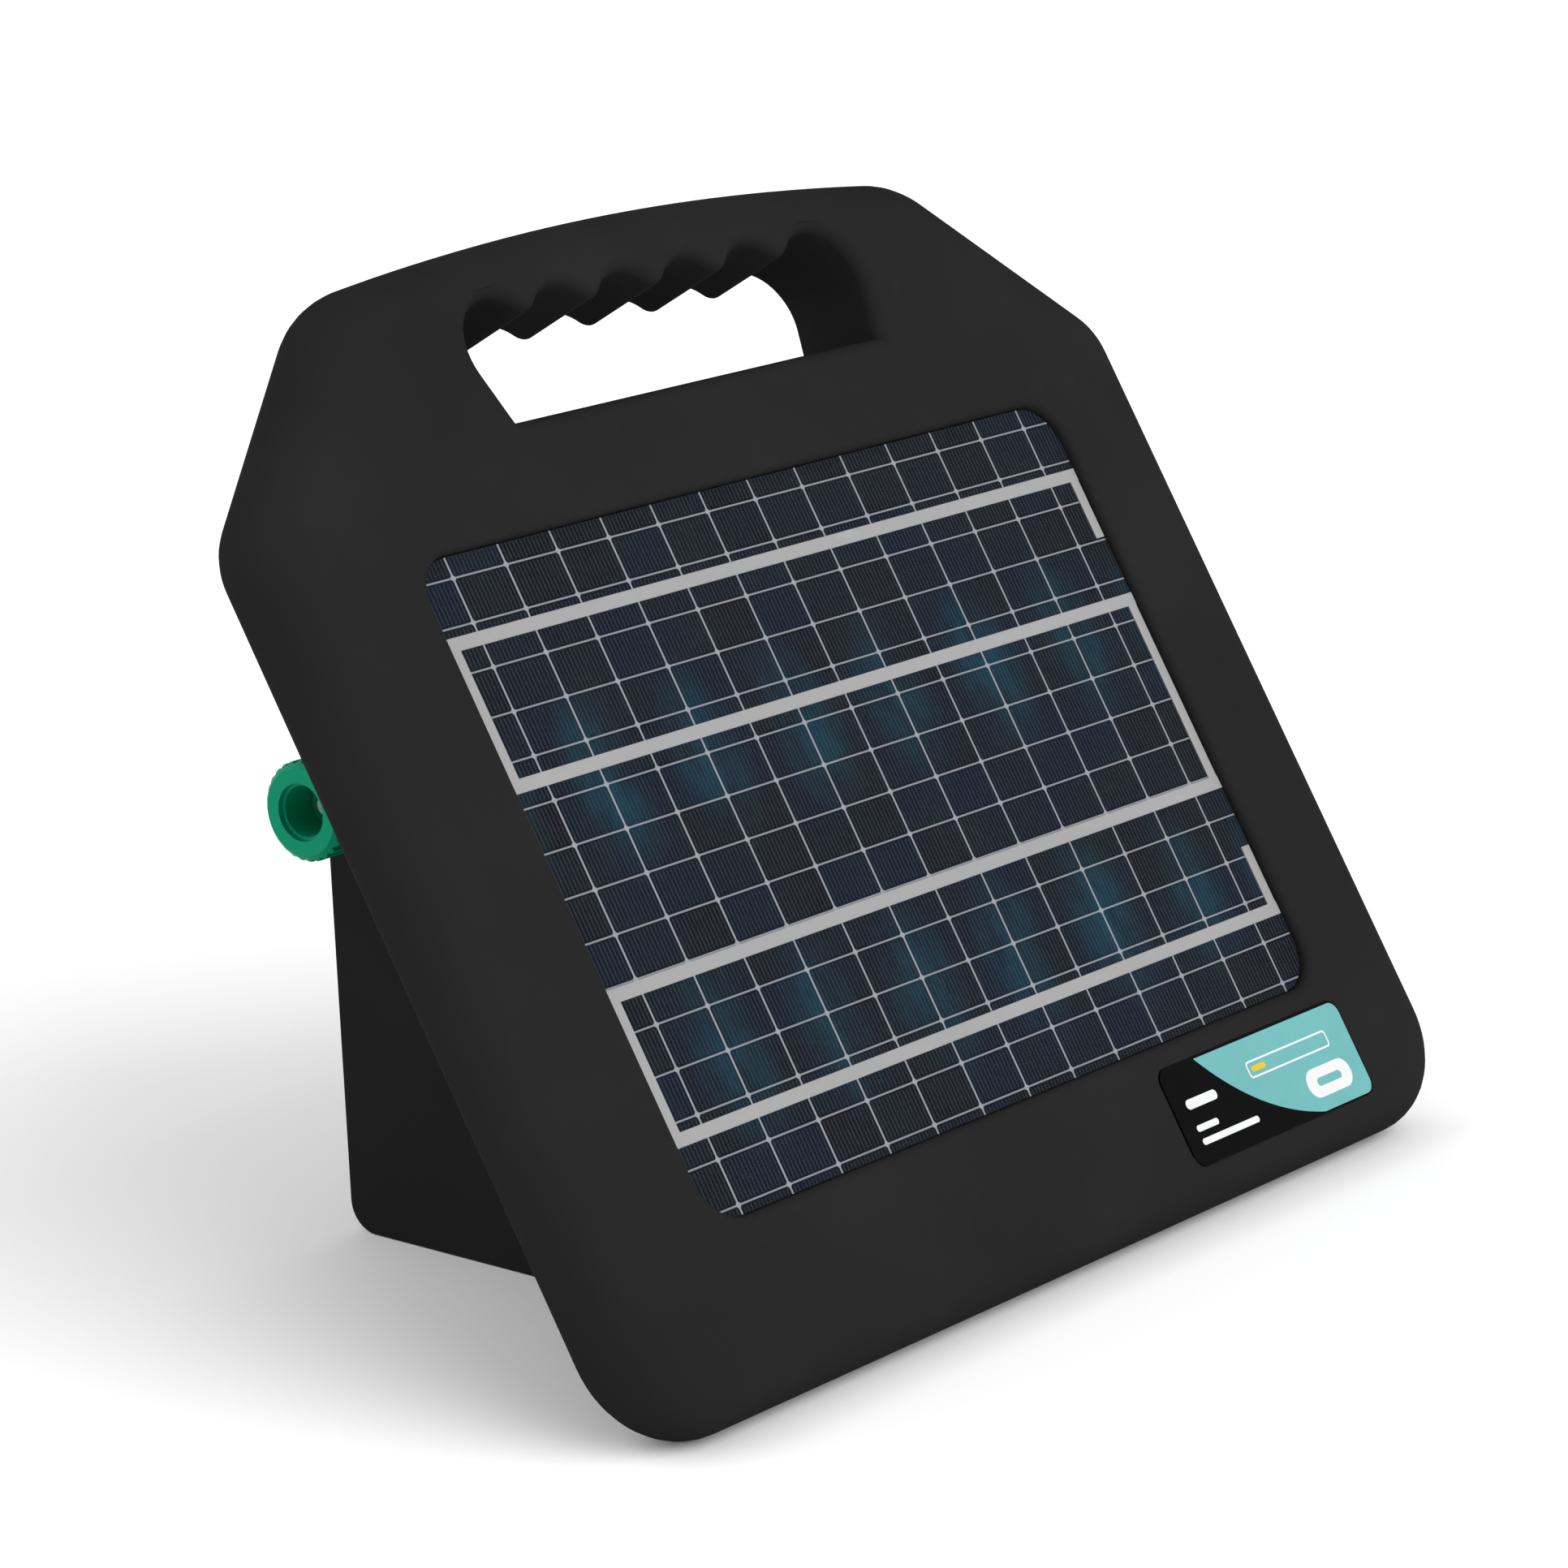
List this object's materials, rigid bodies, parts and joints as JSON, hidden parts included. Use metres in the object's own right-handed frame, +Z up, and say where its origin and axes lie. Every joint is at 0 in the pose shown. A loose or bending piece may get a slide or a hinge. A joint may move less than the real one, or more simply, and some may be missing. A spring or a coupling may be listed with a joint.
{
  "type": "fence energizer",
  "caption": "Solar-powered electric fence energizer: a leaning black panel housing with a finger-grip carrying handle, a wedge-shaped rear battery case and ribbed terminal knobs on its sides.",
  "frame": {"origin": "on the ground, at the middle of the overall box's footprint", "axes": "+Z up; -Y is the side the solar panel faces, and the panel leans back towards +Y; +X is to the right of someone looking at the panel, which is the fence terminal's side"},
  "size_m": [0.3348, 0.1796, 0.2486],
  "materials": {
    "case_black": "fine-grained moulded near-black plastic",
    "rubber_black": "smooth black rubber",
    "brass_insert": "turned",
    "steel_screw": "zinc-plated",
    "panel_film": "clear film with a fine texture",
    "ribbon_silver": "tinned, dull",
    "cell_blue": "dark blue-grey cells with thin pale lines",
    "panel_backing": "pale laminate",
    "junction_black": "smooth",
    "lead_black": "cable sheath",
    "label_teal": "printed plate in black and teal",
    "battery_case": "dark grey case",
    "tab_brass": "tinned tab",
    "lead_red": "cable sheath",
    "tray_grey": "moulded grey plastic",
    "board_green": "solder mask",
    "core_steel": "varnished laminations",
    "winding_copper": "taped copper winding",
    "capacitor_blue": "printed sleeve",
    "heatsink": "extruded",
    "connector_white": "natural nylon",
    "led_green": "tinted lens",
    "pipe_clear": "clear acrylic",
    "bolt_steel": "stainless",
    "knob_green": "satin moulded green plastic",
    "lead_green": "cable sheath",
    "knob_red": "satin moulded red plastic",
    "rocker_grey": "smooth dark plastic"
  },
  "bodies": {
    "energizer_body": {"panel_housing": "case_black", "rear_case": "case_black", "case_seal": "rubber_black", "thread_inserts": "brass_insert", "case_screws": "steel_screw", "panel_film": "panel_film", "cell_ribbons": "ribbon_silver", "solar_cells": "cell_blue", "panel_board": "panel_backing", "panel_seal": "rubber_black", "junction_box": "junction_black", "panel_lead": "lead_black", "label_plate": "label_teal", "battery": "battery_case", "battery_tabs": "tab_brass", "battery_pad": "rubber_black", "battery_lead_red": "lead_red", "battery_lead_black": "lead_black", "inner_tray": "tray_grey", "tray_screws": "steel_screw", "circuit_board": "board_green", "board_screws": "steel_screw", "transformer_core": "core_steel", "transformer_winding": "winding_copper", "storage_capacitor": "capacitor_blue", "power_switch": "heatsink", "board_connectors": "connector_white", "status_led": "led_green", "light_pipe": "pipe_clear", "earth_bolt": "bolt_steel", "earth_inner_washer": "bolt_steel", "earth_collar": "knob_green", "earth_nut": "bolt_steel", "earth_lead": "lead_green", "fence_bolt": "bolt_steel", "fence_inner_washer": "bolt_steel", "fence_collar": "knob_red", "fence_nut": "bolt_steel", "fence_lead": "lead_red", "switch_body": "case_black", "switch_lead": "lead_black", "charge_socket": "case_black", "socket_nut": "steel_screw", "lid_pin": "steel_screw", "charge_lead": "lead_black"},
    "earth_clamp": {"earth_clamp_washer": "bolt_steel"},
    "earth_knob": {"earth_knob": "knob_green"},
    "fence_clamp": {"fence_clamp_washer": "bolt_steel"},
    "fence_knob": {"fence_knob": "knob_red"},
    "switch_rocker": {"switch_rocker": "rocker_grey"},
    "socket_lid": {"socket_lid": "case_black"}
  },
  "joints": [
    {"name": "earth_clamp_slide", "type": "slide", "parent": "energizer_body", "child": "earth_clamp", "axis": [-1, 0, 0], "range_m": [0, 0.005]},
    {"name": "earth_knob_turn", "type": "hinge", "parent": "earth_clamp", "child": "earth_knob", "pos_m": [-0.096, 0.0709, 0.1157], "axis": [-1, 0, 0], "range_deg": [0, 1800]},
    {"name": "fence_clamp_slide", "type": "slide", "parent": "energizer_body", "child": "fence_clamp", "axis": [1, 0, 0], "range_m": [0, 0.005]},
    {"name": "fence_knob_turn", "type": "hinge", "parent": "fence_clamp", "child": "fence_knob", "pos_m": [0.096, 0.0709, 0.1157], "axis": [1, 0, 0], "range_deg": [0, 1800]},
    {"name": "switch_rocker_tip", "type": "hinge", "parent": "energizer_body", "child": "switch_rocker", "pos_m": [0.0765, 0.0313, 0.122], "axis": [0, 1, 0], "range_deg": [0, 18]},
    {"name": "socket_lid_swing", "type": "hinge", "parent": "energizer_body", "child": "socket_lid", "pos_m": [0.0834, -0.0047, 0.0632], "axis": [0, -1, 0], "range_deg": [0, 120]}
  ],
  "couplings": [
    {"joint": "earth_knob_turn", "follows": "earth_clamp_slide", "rad_per_m": 6283.2},
    {"joint": "fence_knob_turn", "follows": "fence_clamp_slide", "rad_per_m": 6283.2}
  ]
}
